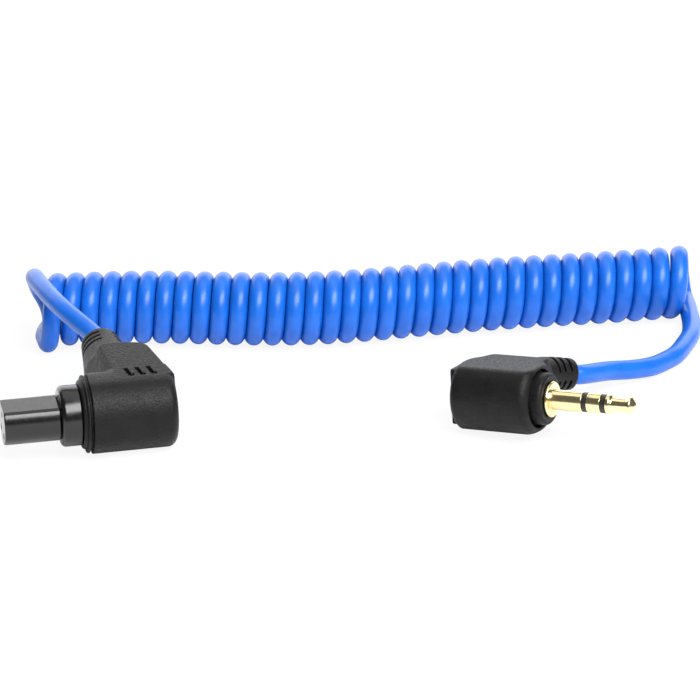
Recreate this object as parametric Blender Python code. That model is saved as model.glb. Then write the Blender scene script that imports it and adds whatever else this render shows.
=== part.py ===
"""Coiled adapter cord with a right-angle plug moulded on each end.

One end has a black plug with a D-shaped nose that holds three contacts. The other has a gold
2.5 mm stereo jack. A blue curly cord joins them.

Lengths are in millimetres. Each plug has its own axes: a runs along its pin, b along the arm
that the cord comes out of, and c upwards. The cable's axes have +X along the coil and z = 0 on
the table. The whole cable then moves so that the origin is on the table, under the middle of
the box round both plugs.
"""

import math

import bmesh
import bpy
import numpy as np
from mathutils import Euler, Matrix, Vector

MM = 0.001

# Gaps between pieces
MEETING_GAP = 0.3  # between pieces that touch on the real cable
FIT_GAP = 0.05  # between the pressed pieces of the jack, and round the contacts

# Cord and coil
CORD_DIAMETER = 2.5
TURN_CLEARANCE = 0.01  # between neighbouring turns of the cord
SOLID_TURN_GAP = 0.5  # the same for the coil's solid, whose tube is drawn thinner
FRONT_STRANDS = 35  # turns that show from the front
COIL_DIAMETER = 10.0
COIL_PLACE = -0.25
COIL_SWAY = (-3.09, 0.43, -0.66, 0.52)  # how far the coil's axis bows and weaves along Y
LEFT_PART_TURN = 0.25  # the first turn ends at the bottom, in front of the camera-end lead
RIGHT_PART_TURN = 0.40  # the last turn ends at the top of its back
LEFT_OPENING = (-0.3, -2.9)  # how far the bottom of the first turn is pulled, in X and Y
RIGHT_OPENING = (0.6, 0.3)  # the same for the end of the last turn
OPENING_TURN = 0.45
CURL_POINTS = 10
TABLE_CLEARANCE = 0.02
LEAD_STEP = 2.2  # longest step of a lead's points, in cord diameters
LEAD_TURN = math.radians(30)  # most that a lead turns between two points
WIRE_DIAMETER = 0.7

# Camera plug: where it lies
CAMERA_PLACE = (-36.65, -39.75)
CAMERA_YAW = math.radians(11)
CAMERA_PITCH = math.radians(-1.3)
CAMERA_ROLL = math.radians(6.5)

# Camera plug: overmould
CAMERA_BARREL_RADIUS = 4.9
CAMERA_BARREL_LENGTH = 10.4
CAMERA_FLAT_HEIGHT = 4.7
CAMERA_ARM_DROP = 0.15  # the arm's flats lie this much under the barrel's
CAMERA_ARM_START = 2.5
CAMERA_ARM_END = 9.9
# Sections across the arm: b, the left side, the foot of the left slope as (a, c), the left end of
# the flat, how far the flat's right end and the right side lie inside the barrel's end, and height
CAMERA_ARM_SECTIONS = (
    (-0.5, 1.2, (1.5, 2.6), 3.5, 0.45, 0.15, CAMERA_FLAT_HEIGHT),
    (CAMERA_ARM_START, 1.3, (1.6, 2.5), 3.45, 0.5, 0.2, CAMERA_FLAT_HEIGHT),
    (8.9, 1.5, (1.8, 1.8), 2.95, 1.7, 1.2, CAMERA_FLAT_HEIGHT),
    (CAMERA_ARM_END, 1.8, (2.0, 1.6), 3.0, 3.5, 2.9, 4.3),
    (11.2, 2.2, (2.4, 1.0), 3.1, 4.3, 3.6, 2.4),
)
CAMERA_BODY_START = -0.6
CAMERA_STEP_RADIUS = 4.25
CAMERA_STEP_LENGTH = 1.1
CAMERA_GROOVE = (0.25, 0.3)  # the width and depth of the groove behind the body's left rim
CAMERA_CORD_PLACE = 4.5
CAMERA_RELIEF_RADII = (3.45, 2.4)  # at the arm's end and at the mouth
CAMERA_RELIEF_LENGTH = 8.6
CAMERA_RELIEF_BEND = math.radians(6)
CAMERA_RELIEF_WAY = math.radians(110)
CAMERA_RELIEF_LIP = 1.3
GRIP_MARKS = 3
GRIP_MARK_PLACE = 4.75
GRIP_MARK_PITCH = 1.38
GRIP_MARK_DEPTH = 0.35
GRIP_MARK_OUTLINE = ((0, 2.1), (0.3, 0), (0.9, 0), (0.9, 0.4), (0.6, 0.4), (0.4, 2.1))
CAMERA_CAVITY_RADIUS = 3.6
CAMERA_CAVITY_START = 0.3
CAMERA_END_WALL = 1.55
CHAMBER_RADIUS = 2.6  # of the space for the soldered wires, in both plugs' inner blocks
CAMERA_CHAMBER_END_WALL = 2.2
CAMERA_WIRE_WAY_RADIUS = 1.7

# Camera plug: nose, collar and contacts
NOSE_RADIUS = 2.85
NOSE_FLAT_HEIGHT = 2.05
NOSE_LENGTH = 6.6
NOSE_SHANK_RADIUS = 2.3
NOSE_GROOVE = 0.25
NOSE_HEAD_THICKNESS = 0.7
COLLAR_RADIUS = 3.72
COLLAR_LENGTH = 2.45
COLLAR_EDGE = 0.5
CONTACT_RADIUS = 0.4
CONTACT_BORE_RADIUS = 0.2
CONTACT_HOLE_RADIUS = 0.3
CONTACT_RECESS = 0.5
CONTACT_TAIL = 1.2
CONTACT_PLACES = {"ground": (0.0, 0.95), "shutter": (-1.3, -1.3), "focus": (1.3, -1.3)}
# The bends of each contact's wire, counted from behind the contact
CAMERA_WIRE_TURNS = {
    "ground": ((0.9, 0.2, 0.95), (1.5, 1.5, 0.9), (1.5, 3.2, 0.8)),
    "shutter": ((1.2, -1.1, -1.2), (2.1, 0.5, -1.0), (2.2, 2.7, -0.6)),
    "focus": ((0.6, 1.5, -1.25), (0.7, 2.3, -1.0), (0.6, 3.6, -0.5)),
}

# Jack plug: where it lies
JACK_PLACE = (19.7, -42.8)
JACK_YAW = math.radians(-32)
JACK_PITCH = math.radians(4.5)
JACK_ROLL = math.radians(-5)

# Jack plug: overmould
JACK_BARREL_RADIUS = 4.7
JACK_BARREL_BACK = -12.1
JACK_BARREL_FRONT = -1.7
JACK_FLAT_HEIGHT = 3.9
JACK_BASE_DEPTH = 4.15  # of the flat under the barrel
JACK_RIM_ROUND = 1.1
JACK_BOSS_RADIUS = 3.2
JACK_GROOVE_WIDTH = 0.6
JACK_GROOVE_DEPTH = 0.8
JACK_ARM_END = 4.6
JACK_ARM_SECTIONS = (  # as the camera plug's, with the right side counted back from the flange
    (-0.5, -11.6, (-11.4, 3.4), -10.7, 2.6, 2.3, JACK_FLAT_HEIGHT),
    (2.8, -10.9, (-10.8, 3.3), -10.2, 2.9, 2.5, JACK_FLAT_HEIGHT),
    (JACK_ARM_END, -10.1, (-10.0, 3.3), -9.5, 3.2, 2.8, JACK_FLAT_HEIGHT),
    (5.8, -8.4, (-8.2, 1.8), -7.6, 3.5, 3.1, 3.2),
)
JACK_CORD_PLACE = -5.9
JACK_CORD_HEIGHT = 0.7
JACK_RELIEF_RADII = (2.7, 1.95)
JACK_RELIEF_LENGTH = 8.8
JACK_RELIEF_BEND = math.radians(42)
JACK_RELIEF_WAY = math.radians(-16)
JACK_RELIEF_LIP = 1.7
JACK_CAVITY_RADIUS = 3.3
JACK_END_WALL = 1.5
JACK_CHAMBER_LENGTH = 4.6
JACK_WIRE_WAY_RADIUS = 2.1
JACK_WIRE_WAY_SHIFT = 1.0  # from the cord's line towards the lugs
JACK_PAD_HEIGHT = 7.0
JACK_PAD_WIDTH = 5.4
JACK_PAD_DEPTH = 0.5

# Jack pin
PIN_RADIUS = 1.24
SLEEVE_LENGTH = 4.0
BAND_LENGTH = 0.55
RING_LENGTH = 1.75
TIP_LENGTH = 3.75
TIP_SHOULDER_LENGTH = 0.7
TIP_WAIST_RADIUS = 0.86
TIP_HEAD_RADIUS = 1.08
TIP_HEAD_LENGTH = 1.2
BAND_INSET = 0.05
FLANGE_RADIUS = 2.2
FLANGE_THICKNESS = 0.4
SHANK_RADIUS = 1.85
SHANK_LENGTH = 2.3
TUBE_WALL = 0.13
ROD_RADIUS = 0.35
LUG_THICKNESS = 0.35
LUG_STEP = 1.15
LUG_RIM = 0.55
LUG_TAB_WIDTH = 0.8
LUG_TAB_LENGTH = 0.25
SLEEVE_WIRE_TURNS = ((-0.3, 0.1, 0.6), (-1.6, 0.15, 1.25))  # its bends, counted from its tab

# Strain reliefs
RELIEF_SLOTS = 3
RELIEF_SLOT_PITCH = 1.15
RELIEF_SLOT_WIDTH = 0.45
RELIEF_SLOT_DEPTH = 0.4
RELIEF_ROOT = 5.5  # how far the round bar goes into the arm
STRAIGHT_LEAD = 1.0  # how far the cord runs straight past the mouth

ROUND_SIDES = 28
CAVITY_SIDES = 26
SMALL_SIDES = 12

COIL_PITCH = CORD_DIAMETER + TURN_CLEARANCE
COIL_TUBE = COIL_PITCH - SOLID_TURN_GAP
COIL_AXIS_HEIGHT = COIL_DIAMETER / 2
TURN_RADIUS = (COIL_DIAMETER - CORD_DIAMETER) / 2
LEAD_HEIGHT = CORD_DIAMETER / 2 + TABLE_CLEARANCE
CORD_BORE = CORD_DIAMETER / 2 + MEETING_GAP
ARM_OVERSIZE = 0.5


# Scene, materials and objects


def clear_scene():
    for leftover in list(bpy.data.objects):
        bpy.data.objects.remove(leftover, do_unlink=True)


def material(name, colour, roughness, metallic=0.0):
    made = bpy.data.materials.new(name)
    made.use_nodes = True
    shader = made.node_tree.nodes["Principled BSDF"]
    shader.inputs["Base Color"].default_value = (*colour, 1.0)
    shader.inputs["Roughness"].default_value = roughness
    shader.inputs["Metallic"].default_value = metallic
    return made


def add_object(name, data, parent):
    made = bpy.data.objects.new(name, data)
    made.parent = parent
    bpy.context.scene.collection.objects.link(made)
    return made


def add_axes(name, parent=None, place=(0, 0), turn=(0, 0, 0)):
    axes = add_object(name, None, parent)
    axes.location = (place[0] * MM, place[1] * MM, 0)
    axes.rotation_euler = turn
    return axes


def plug_axes(name, parent, place, yaw, pitch, roll):
    return add_axes(name, parent, place, (roll, -pitch, yaw))


def add_piece(name, mesh, parent, finish):
    data = bpy.data.meshes.new(name)
    mesh.to_mesh(data)
    mesh.free()
    data.materials.append(finish)
    data.shade_smooth()
    data.set_sharp_from_angle(angle=math.radians(35))
    return add_object(name, data, parent)


def add_helper(name, mesh, parent):
    """A shape that is only added to a piece or cut from it."""
    data = bpy.data.meshes.new(name)
    mesh.to_mesh(data)
    mesh.free()
    made = add_object(name, data, parent)
    made.hide_render = True
    made.display_type = "WIRE"
    return made


def combine(piece, operation, *helpers):
    for helper in helpers:
        step = piece.modifiers.new(helper.name, "BOOLEAN")
        step.operation = operation
        step.solver = "EXACT"
        step.object = helper


# Shapes


def skinned(rings):
    """A closed solid through rings of equally many points, with a flat face on each end."""
    mesh = bmesh.new()
    rows = [[mesh.verts.new(Vector(point) * MM) for point in ring] for ring in rings]
    for row, following in zip(rows, rows[1:]):
        for i in range(len(row)):
            mesh.faces.new((row[i - 1], row[i], following[i], following[i - 1]))
    mesh.faces.new(rows[0])
    mesh.faces.new(rows[-1])
    bmesh.ops.recalc_face_normals(mesh, faces=mesh.faces)
    return mesh


def turned(outline, sides=ROUND_SIDES):
    """A solid of revolution about a, from an outline of (a, radius) points."""
    mesh = bmesh.new()
    verts = [mesh.verts.new((along * MM, 0, radius * MM)) for along, radius in outline]
    edges = []
    for i, vert in enumerate(verts):
        if outline[i - 1][1] or outline[i][1]:
            edges.append(mesh.edges.new((verts[i - 1], vert)))
    bmesh.ops.spin(
        mesh,
        geom=verts + edges,
        axis=(1, 0, 0),
        cent=(0, 0, 0),
        angle=math.tau,
        steps=sides,
        use_merge=True,
    )
    bmesh.ops.remove_doubles(mesh, verts=mesh.verts, dist=1e-8)
    bmesh.ops.recalc_face_normals(mesh, faces=mesh.faces)
    return mesh


def tube_outline(start, end, inner, outer):
    return [(start, inner), (start, outer), (end, outer), (end, inner)]


def rounded(start, end, radius, start_round, end_round, steps=3):
    """The outline of a solid cylinder whose rims are rounded."""
    outline = [(start, 0)]
    for i in range(steps + 1):
        angle = math.pi / 2 * i / steps
        outline.append(
            (
                start + start_round * (1 - math.sin(angle)),
                radius - start_round * (1 - math.cos(angle)),
            )
        )
    outline[1:] = outline[:0:-1]
    for i in range(steps + 1):
        angle = math.pi / 2 * i / steps
        outline.append(
            (
                end - end_round * (1 - math.sin(angle)),
                radius - end_round * (1 - math.cos(angle)),
            )
        )
    return outline + [(end, 0)]


def swept(points, radii, sides=ROUND_SIDES):
    """A round bar along points, with one radius for each."""
    points = [Vector(point) for point in points]
    last = len(points) - 1
    rings = []
    normal = (points[1] - points[0]).orthogonal().normalized()
    for i, (point, radius) in enumerate(zip(points, radii)):
        ahead = (points[min(i + 1, last)] - points[max(i - 1, 0)]).normalized()
        normal = (normal - ahead * normal.dot(ahead)).normalized()
        side = ahead.cross(normal)
        ring = []
        for j in range(sides):
            angle = math.tau * j / sides
            ring.append(point + (normal * math.cos(angle) + side * math.sin(angle)) * radius)
        rings.append(ring)
    return skinned(rings)


def prism(outline, low, high, axis):
    """An outline of points in two of the axes, carried from low to high along the third."""
    rings = []
    for level in (low, high):
        rings.append([point[:axis] + (level,) + point[axis:] for point in outline])
    return skinned(rings)


def box(low, high):
    (a, b, c), (d, e, f) = low, high
    return prism([(a, b), (d, b), (d, e), (a, e)], c, f, 2)


def slot_cutter(centre, ahead, start, end, inner, outer, width, steps=6):
    """Part of a ring round a line: start and end are angles from c, towards the line's right."""
    up = Vector((0, 0, 1))
    right = ahead.cross(up)
    rings = []
    for i in range(steps + 1):
        angle = start + (end - start) * i / steps
        out = up * math.cos(angle) + right * math.sin(angle)
        corners = ((inner, -1), (outer, -1), (outer, 1), (inner, 1))
        rings.append([centre + out * reach + ahead * (width / 2 * way) for reach, way in corners])
    return skinned(rings)


def tube(name, points, diameter, finish, parent, resolution=2):
    """A cord or wire: an open line of points with a round section and closed ends."""
    curve = bpy.data.curves.new(name, "CURVE")
    curve.dimensions = "3D"
    line = curve.splines.new("POLY")
    line.points.add(len(points) - 1)
    for knot, point in zip(line.points, points):
        knot.co = (*(Vector(point) * MM), 1)
        knot.radius = 1.0
    line.use_smooth = True
    curve.bevel_depth = diameter / 2 * MM
    curve.bevel_resolution = resolution
    curve.use_fill_caps = True
    curve.materials.append(finish)
    return add_object(name, curve, parent)


# The line that the cord takes through a plug's arm


class ArmLine:
    """The cord's middle line: straight along b up to the arm's end, then an arc through the
    strain relief. The arc bends towards way, an angle from a towards c."""

    def __init__(self, start, length, bend, way, radii):
        self.start = Vector(start)
        self.length = length
        self.bend = bend
        self.out = Vector((math.cos(way), 0, math.sin(way)))
        self.radii = radii

    def point(self, past_arm):
        if past_arm <= 0:
            return self.start + Vector((0, past_arm, 0))
        arc_radius = self.length / self.bend
        angle = past_arm / arc_radius
        ahead = Vector((0, arc_radius * math.sin(angle), 0))
        return self.start + ahead + self.out * arc_radius * (1 - math.cos(angle))

    def ahead(self, past_arm):
        angle = max(past_arm, 0) / self.length * self.bend
        return Vector((0, math.cos(angle), 0)) + self.out * math.sin(angle)

    def radius(self, past_arm):
        root, mouth = self.radii
        return root + (mouth - root) * min(max(past_arm / self.length, 0), 1)

    def points(self, start, end, step):
        count = max(2, math.ceil((end - start) / step) + 1)
        return [self.point(value) for value in np.linspace(start, end, count)]


CAMERA_LINE = ArmLine(
    (CAMERA_CORD_PLACE, CAMERA_ARM_END, 0),
    CAMERA_RELIEF_LENGTH,
    CAMERA_RELIEF_BEND,
    CAMERA_RELIEF_WAY,
    CAMERA_RELIEF_RADII,
)
JACK_LINE = ArmLine(
    (JACK_CORD_PLACE, JACK_ARM_END, JACK_CORD_HEIGHT),
    JACK_RELIEF_LENGTH,
    JACK_RELIEF_BEND,
    JACK_RELIEF_WAY,
    JACK_RELIEF_RADII,
)
CAMERA_CORD_DEPTH = CAMERA_ARM_END - 5.2  # how far inside the arm's end the cord's jacket stops
JACK_CORD_DEPTH = 0.4
BORE_STEP = 2.0


def relief_shape(line):
    """The strain relief: a tapered bar from inside the arm to its rounded mouth."""
    round_in = 0.8 * (line.radius(line.length) - CORD_BORE)
    stations = list(np.linspace(-RELIEF_ROOT, line.length - round_in, 9))
    radii = [line.radius(value) for value in stations]
    for share in (0.5, 0.87, 1.0):
        stations.append(line.length - round_in + round_in * share)
        radii.append(line.radius(line.length) - round_in * (1 - math.sqrt(1 - share**2)))
    return swept([line.point(value) for value in stations], radii, 24)


def relief_slots(name, line, lip, parent, spans):
    """Slots across the strain relief, each through part of its round, with a spine left between."""
    cutters = []
    for i in range(RELIEF_SLOTS):
        place = line.length - lip - i * RELIEF_SLOT_PITCH
        radius = line.radius(place)
        for side, (start, end) in enumerate(spans):
            shape = slot_cutter(
                line.point(place),
                line.ahead(place),
                start,
                end,
                radius - RELIEF_SLOT_DEPTH,
                radius + 0.5,
                RELIEF_SLOT_WIDTH,
            )
            cutters.append(add_helper(f"{name}_{i}_{side}", shape, parent))
    return cutters


def cord_bore(line, depth):
    """The hole for the cord, from inside the arm to past the mouth."""
    points = line.points(-depth - 3.0, line.length, BORE_STEP)
    points.append(points[-1] + line.ahead(line.length) * 1.0)
    return swept(points, [CORD_BORE] * len(points), 20)


# Camera plug


def arm_section(end, b, left, slope_foot, flat_left, flat_inset, right_inset, height):
    """A closed outline across an arm at b. It rises past the flats, which are cut afterwards."""
    over = height + ARM_OVERSIZE
    flat_right = end - flat_inset
    upper = [(left, 0.0), slope_foot, (flat_left, height), (flat_left, over), (flat_right, over)]
    upper += [(flat_right, height - ARM_OVERSIZE), (end - right_inset, 0.0)]
    lower = [(a, -c) for a, c in upper[-2:0:-1]]
    return [(a, b, c) for a, c in upper + lower]


def camera_overmould(plug, finish):
    top = CAMERA_FLAT_HEIGHT
    end = CAMERA_BARREL_LENGTH
    step = -CAMERA_STEP_LENGTH
    start = CAMERA_BODY_START
    groove, groove_depth = CAMERA_GROOVE
    barrel = rounded(start, end, CAMERA_BARREL_RADIUS, 0.35, 1.1)
    barrel[:1] = [
        (step, 0),
        (step, CAMERA_STEP_RADIUS - 0.4),
        (step + 0.4, CAMERA_STEP_RADIUS),
        (start, CAMERA_STEP_RADIUS),
    ]
    rim = next(i for i, (_, radius) in enumerate(barrel) if radius == CAMERA_BARREL_RADIUS)
    barrel[rim + 1 : rim + 1] = [
        (-groove, CAMERA_BARREL_RADIUS),
        (-groove, CAMERA_BARREL_RADIUS - groove_depth),
        (0, CAMERA_BARREL_RADIUS - groove_depth),
        (0, CAMERA_BARREL_RADIUS),
    ]
    piece = add_piece("camera_plug_overmould", turned(barrel), plug, finish)
    arm = skinned([arm_section(end, *section) for section in CAMERA_ARM_SECTIONS])
    low = top - CAMERA_ARM_DROP
    begin = CAMERA_ARM_START
    flats = [(-9, -top), (begin - 0.15, -top), (begin, -low), (30, -low)]
    flats += [(b, -c) for b, c in reversed(flats)]
    back = end - CAMERA_END_WALL
    opening = NOSE_SHANK_RADIUS + MEETING_GAP
    cavity = [
        (step - 1, 0),
        (step - 1, opening),
        (CAMERA_CAVITY_START, opening),
        (CAMERA_CAVITY_START, CAMERA_CAVITY_RADIUS),
        (back, CAMERA_CAVITY_RADIUS),
        (back, 0),
    ]
    relief = relief_shape(CAMERA_LINE)
    combine(
        piece,
        "UNION",
        add_helper("camera_arm_shape", arm, plug),
        add_helper("camera_relief_shape", relief, plug),
    )
    clip = prism(flats, step - 2, end + 2, 0)
    combine(piece, "INTERSECT", add_helper("camera_flats", clip, plug))
    spans = ((math.radians(-120), math.radians(-5)), (math.radians(35), math.radians(120)))
    slots = relief_slots("camera_slot", CAMERA_LINE, CAMERA_RELIEF_LIP, plug, spans)
    bore = add_helper("camera_bore", cord_bore(CAMERA_LINE, CAMERA_CORD_DEPTH), plug)
    hollow = add_helper("camera_cavity", turned(cavity, CAVITY_SIDES), plug)
    combine(piece, "DIFFERENCE", bore, hollow, *slots, *grip_marks(plug))
    return piece


def grip_marks(plug):
    """Three small L-shaped recesses in the flat top."""
    cutters = []
    for i in range(GRIP_MARKS):
        left = GRIP_MARK_PLACE + GRIP_MARK_PITCH * i
        outline = [(left + a, b) for a, b in GRIP_MARK_OUTLINE]
        mark = prism(outline, CAMERA_FLAT_HEIGHT - GRIP_MARK_DEPTH, CAMERA_FLAT_HEIGHT + 1, 2)
        cutters.append(add_helper(f"grip_mark_{i}", mark, plug))
    return cutters


def nose_end():
    return -CAMERA_STEP_LENGTH - FIT_GAP - COLLAR_LENGTH - NOSE_GROOVE - NOSE_LENGTH


def camera_nose(plug, finish):
    """The D-shaped nose, its shank through the collar, and the head that the overmould grips."""
    front = nose_end()
    head = CAMERA_CAVITY_START + MEETING_GAP
    outline = rounded(front, front + NOSE_LENGTH, NOSE_RADIUS, 0.12, 0.3, 2)
    outline[-1:] = [
        (front + NOSE_LENGTH, NOSE_SHANK_RADIUS),
        (head, NOSE_SHANK_RADIUS),
        (head, CAMERA_CAVITY_RADIUS - MEETING_GAP),
        (head + NOSE_HEAD_THICKNESS, CAMERA_CAVITY_RADIUS - MEETING_GAP),
        (head + NOSE_HEAD_THICKNESS, 0),
    ]
    piece = add_piece("camera_plug_nose", turned(outline), plug, finish)
    low = (front - 1, -5, NOSE_FLAT_HEIGHT)
    flat = box(low, (front + NOSE_LENGTH, 5, NOSE_FLAT_HEIGHT + 5))
    cutters = [add_helper("nose_flat", flat, plug)]
    for use, (b, c) in CONTACT_PLACES.items():
        shape = turned(
            [
                (front - 1, 0),
                (front - 1, CONTACT_HOLE_RADIUS),
                (front + CONTACT_RECESS, CONTACT_HOLE_RADIUS),
                (front + CONTACT_RECESS, CONTACT_RADIUS + FIT_GAP),
                (head + NOSE_HEAD_THICKNESS + 1, CONTACT_RADIUS + FIT_GAP),
                (head + NOSE_HEAD_THICKNESS + 1, 0),
            ],
            SMALL_SIDES,
        )
        bmesh.ops.translate(shape, verts=shape.verts, vec=(0, b * MM, c * MM))
        cutters.append(add_helper(f"{use}_bore", shape, plug))
    combine(piece, "DIFFERENCE", *cutters)
    return piece


def camera_collar(plug, finish):
    end = -CAMERA_STEP_LENGTH - FIT_GAP
    start = end - COLLAR_LENGTH
    outline = rounded(start, end, COLLAR_RADIUS, COLLAR_EDGE, 0.15)
    bore = NOSE_SHANK_RADIUS + FIT_GAP
    outline[0] = (start, bore)
    outline[-1] = (end, bore)
    return add_piece("camera_plug_collar", turned(outline), plug, finish)


def contact_ends():
    head_end = CAMERA_CAVITY_START + MEETING_GAP + NOSE_HEAD_THICKNESS
    return nose_end() + CONTACT_RECESS + FIT_GAP, head_end + CONTACT_TAIL


def camera_contact(use, plug, finish):
    """A turned socket, open towards the nose's end."""
    start, end = contact_ends()
    outline = [
        (start, CONTACT_BORE_RADIUS),
        (start, CONTACT_RADIUS),
        (end, CONTACT_RADIUS),
        (end, 0),
        (start + 4, 0),
        (start + 4, CONTACT_BORE_RADIUS),
    ]
    shape = turned(outline, SMALL_SIDES)
    b, c = CONTACT_PLACES[use]
    bmesh.ops.translate(shape, verts=shape.verts, vec=(0, b * MM, c * MM))
    return add_piece(f"camera_contact_{use}", shape, plug, finish)


def camera_inner_mould(plug, finish):
    """The block inside the overmould. Its chamber holds the soldered ends of the wires."""
    start = CAMERA_CAVITY_START + 2 * MEETING_GAP + NOSE_HEAD_THICKNESS
    end = CAMERA_BARREL_LENGTH - CAMERA_END_WALL - MEETING_GAP
    outer = CAMERA_CAVITY_RADIUS - MEETING_GAP
    depth = end - CAMERA_CHAMBER_END_WALL
    outline = [(start, CHAMBER_RADIUS), (start, outer), (end, outer), (end, 0), (depth, 0)]
    outline.append((depth, CHAMBER_RADIUS))
    piece = add_piece("camera_plug_inner_mould", turned(outline), plug, finish)
    way_out = swept(
        [(CAMERA_CORD_PLACE, 0, 0), (CAMERA_CORD_PLACE, 5, 0)], [CAMERA_WIRE_WAY_RADIUS] * 2, 20
    )
    combine(piece, "DIFFERENCE", add_helper("camera_wire_way", way_out, plug))
    return piece


def wire_ends(line, depth):
    """Where the three wires come out of the cord's jacket."""
    middle = line.point(-depth) - Vector((0, MEETING_GAP, 0))
    spread = 0.62
    return [
        middle + Vector((spread * math.sin(angle), 0, spread * math.cos(angle)))
        for angle in (0, math.tau / 3, -math.tau / 3)
    ]


def camera_wires(plug, finishes):
    ends = dict(zip(("ground", "shutter", "focus"), wire_ends(CAMERA_LINE, CAMERA_CORD_DEPTH)))
    start = contact_ends()[1] + MEETING_GAP
    for use, finish in finishes.items():
        b, c = CONTACT_PLACES[use]
        route = [Vector((start, b, c)), Vector((start + 0.4, b, c))]
        route += [Vector((start, 0, 0)) + Vector(turn) for turn in CAMERA_WIRE_TURNS[use]]
        route += [ends[use] - Vector((0, 0.5, 0)), ends[use]]
        points = resampled(smooth_line(route), 0.8, math.radians(25))
        tube(f"camera_wire_{use}", points, WIRE_DIAMETER, finish, plug, 1)


# Jack plug


def jack_overmould(plug, finish):
    back = JACK_BARREL_BACK
    front = JACK_BARREL_FRONT
    boss_front = -FLANGE_THICKNESS - FIT_GAP
    groove = front - JACK_GROOVE_DEPTH
    outline = rounded(back, front, JACK_BARREL_RADIUS, 0.9, JACK_RIM_ROUND)
    outline[-1:] = [
        (groove, JACK_BOSS_RADIUS + JACK_GROOVE_WIDTH - 0.25),
        (groove, JACK_BOSS_RADIUS),
        (boss_front - 0.35, JACK_BOSS_RADIUS),
        (boss_front, JACK_BOSS_RADIUS - 0.35),
        (boss_front, 0),
    ]
    piece = add_piece("jack_plug_overmould", turned(outline), plug, finish)
    arm = skinned([arm_section(0, *section) for section in JACK_ARM_SECTIONS])
    low = -JACK_BASE_DEPTH
    flats = [(-9, low), (30, low), (30, JACK_FLAT_HEIGHT), (-9, JACK_FLAT_HEIGHT)]
    end = back + JACK_END_WALL
    opening = SHANK_RADIUS + MEETING_GAP
    shoulder = boss_front - SHANK_LENGTH
    cavity = [
        (1, 0),
        (1, opening),
        (shoulder, opening),
        (shoulder, JACK_CAVITY_RADIUS),
        (end, JACK_CAVITY_RADIUS),
        (end, 0),
    ]
    half = JACK_PAD_WIDTH / 2
    tall = JACK_PAD_HEIGHT / 2
    pad = box((back - JACK_PAD_DEPTH, -half, -tall), (back + 1, half, tall))
    combine(
        piece,
        "UNION",
        add_helper("jack_arm_shape", arm, plug),
        add_helper("jack_relief_shape", relief_shape(JACK_LINE), plug),
        add_helper("jack_pad_shape", pad, plug),
    )
    clip = prism(flats, back - 3, 3, 0)
    combine(piece, "INTERSECT", add_helper("jack_flats", clip, plug))
    spans = ((math.radians(-60), math.radians(75)), (math.radians(105), math.radians(160)))
    slots = relief_slots("jack_slot", JACK_LINE, JACK_RELIEF_LIP, plug, spans)
    bore = add_helper("jack_bore", cord_bore(JACK_LINE, JACK_CORD_DEPTH), plug)
    hollow = add_helper("jack_cavity", turned(cavity, CAVITY_SIDES), plug)
    combine(piece, "DIFFERENCE", bore, hollow, *slots)
    return piece


def jack_inner_mould(plug, finish):
    start = JACK_BARREL_BACK + JACK_END_WALL + MEETING_GAP
    end = -FLANGE_THICKNESS - FIT_GAP - SHANK_LENGTH - MEETING_GAP
    outer = JACK_CAVITY_RADIUS - MEETING_GAP
    depth = end - JACK_CHAMBER_LENGTH
    outline = [(start, 0), (start, outer), (end, outer), (end, CHAMBER_RADIUS)]
    outline += [(depth, CHAMBER_RADIUS), (depth, 0)]
    piece = add_piece("jack_plug_inner_mould", turned(outline), plug, finish)
    middle = JACK_CORD_PLACE + JACK_WIRE_WAY_SHIFT
    height = JACK_CORD_HEIGHT / 2
    way_out = swept([(middle, 0, height), (middle, 5, height)], [JACK_WIRE_WAY_RADIUS] * 2, 20)
    combine(piece, "DIFFERENCE", add_helper("jack_wire_way", way_out, plug))
    return piece


def conductor_radii():
    """The outer radii of the nested tubes inside the pin, from the tip's rod outwards."""
    radii = [ROD_RADIUS]
    for _ in range(3):
        radii.append(radii[-1] + FIT_GAP + TUBE_WALL)
    return radii


def lug_place(i):
    """Where the lug of the sleeve (0), ring (1) or tip (2) begins, going back along the pin."""
    return -FLANGE_THICKNESS - SHANK_LENGTH - 0.4 - LUG_STEP * i


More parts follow.
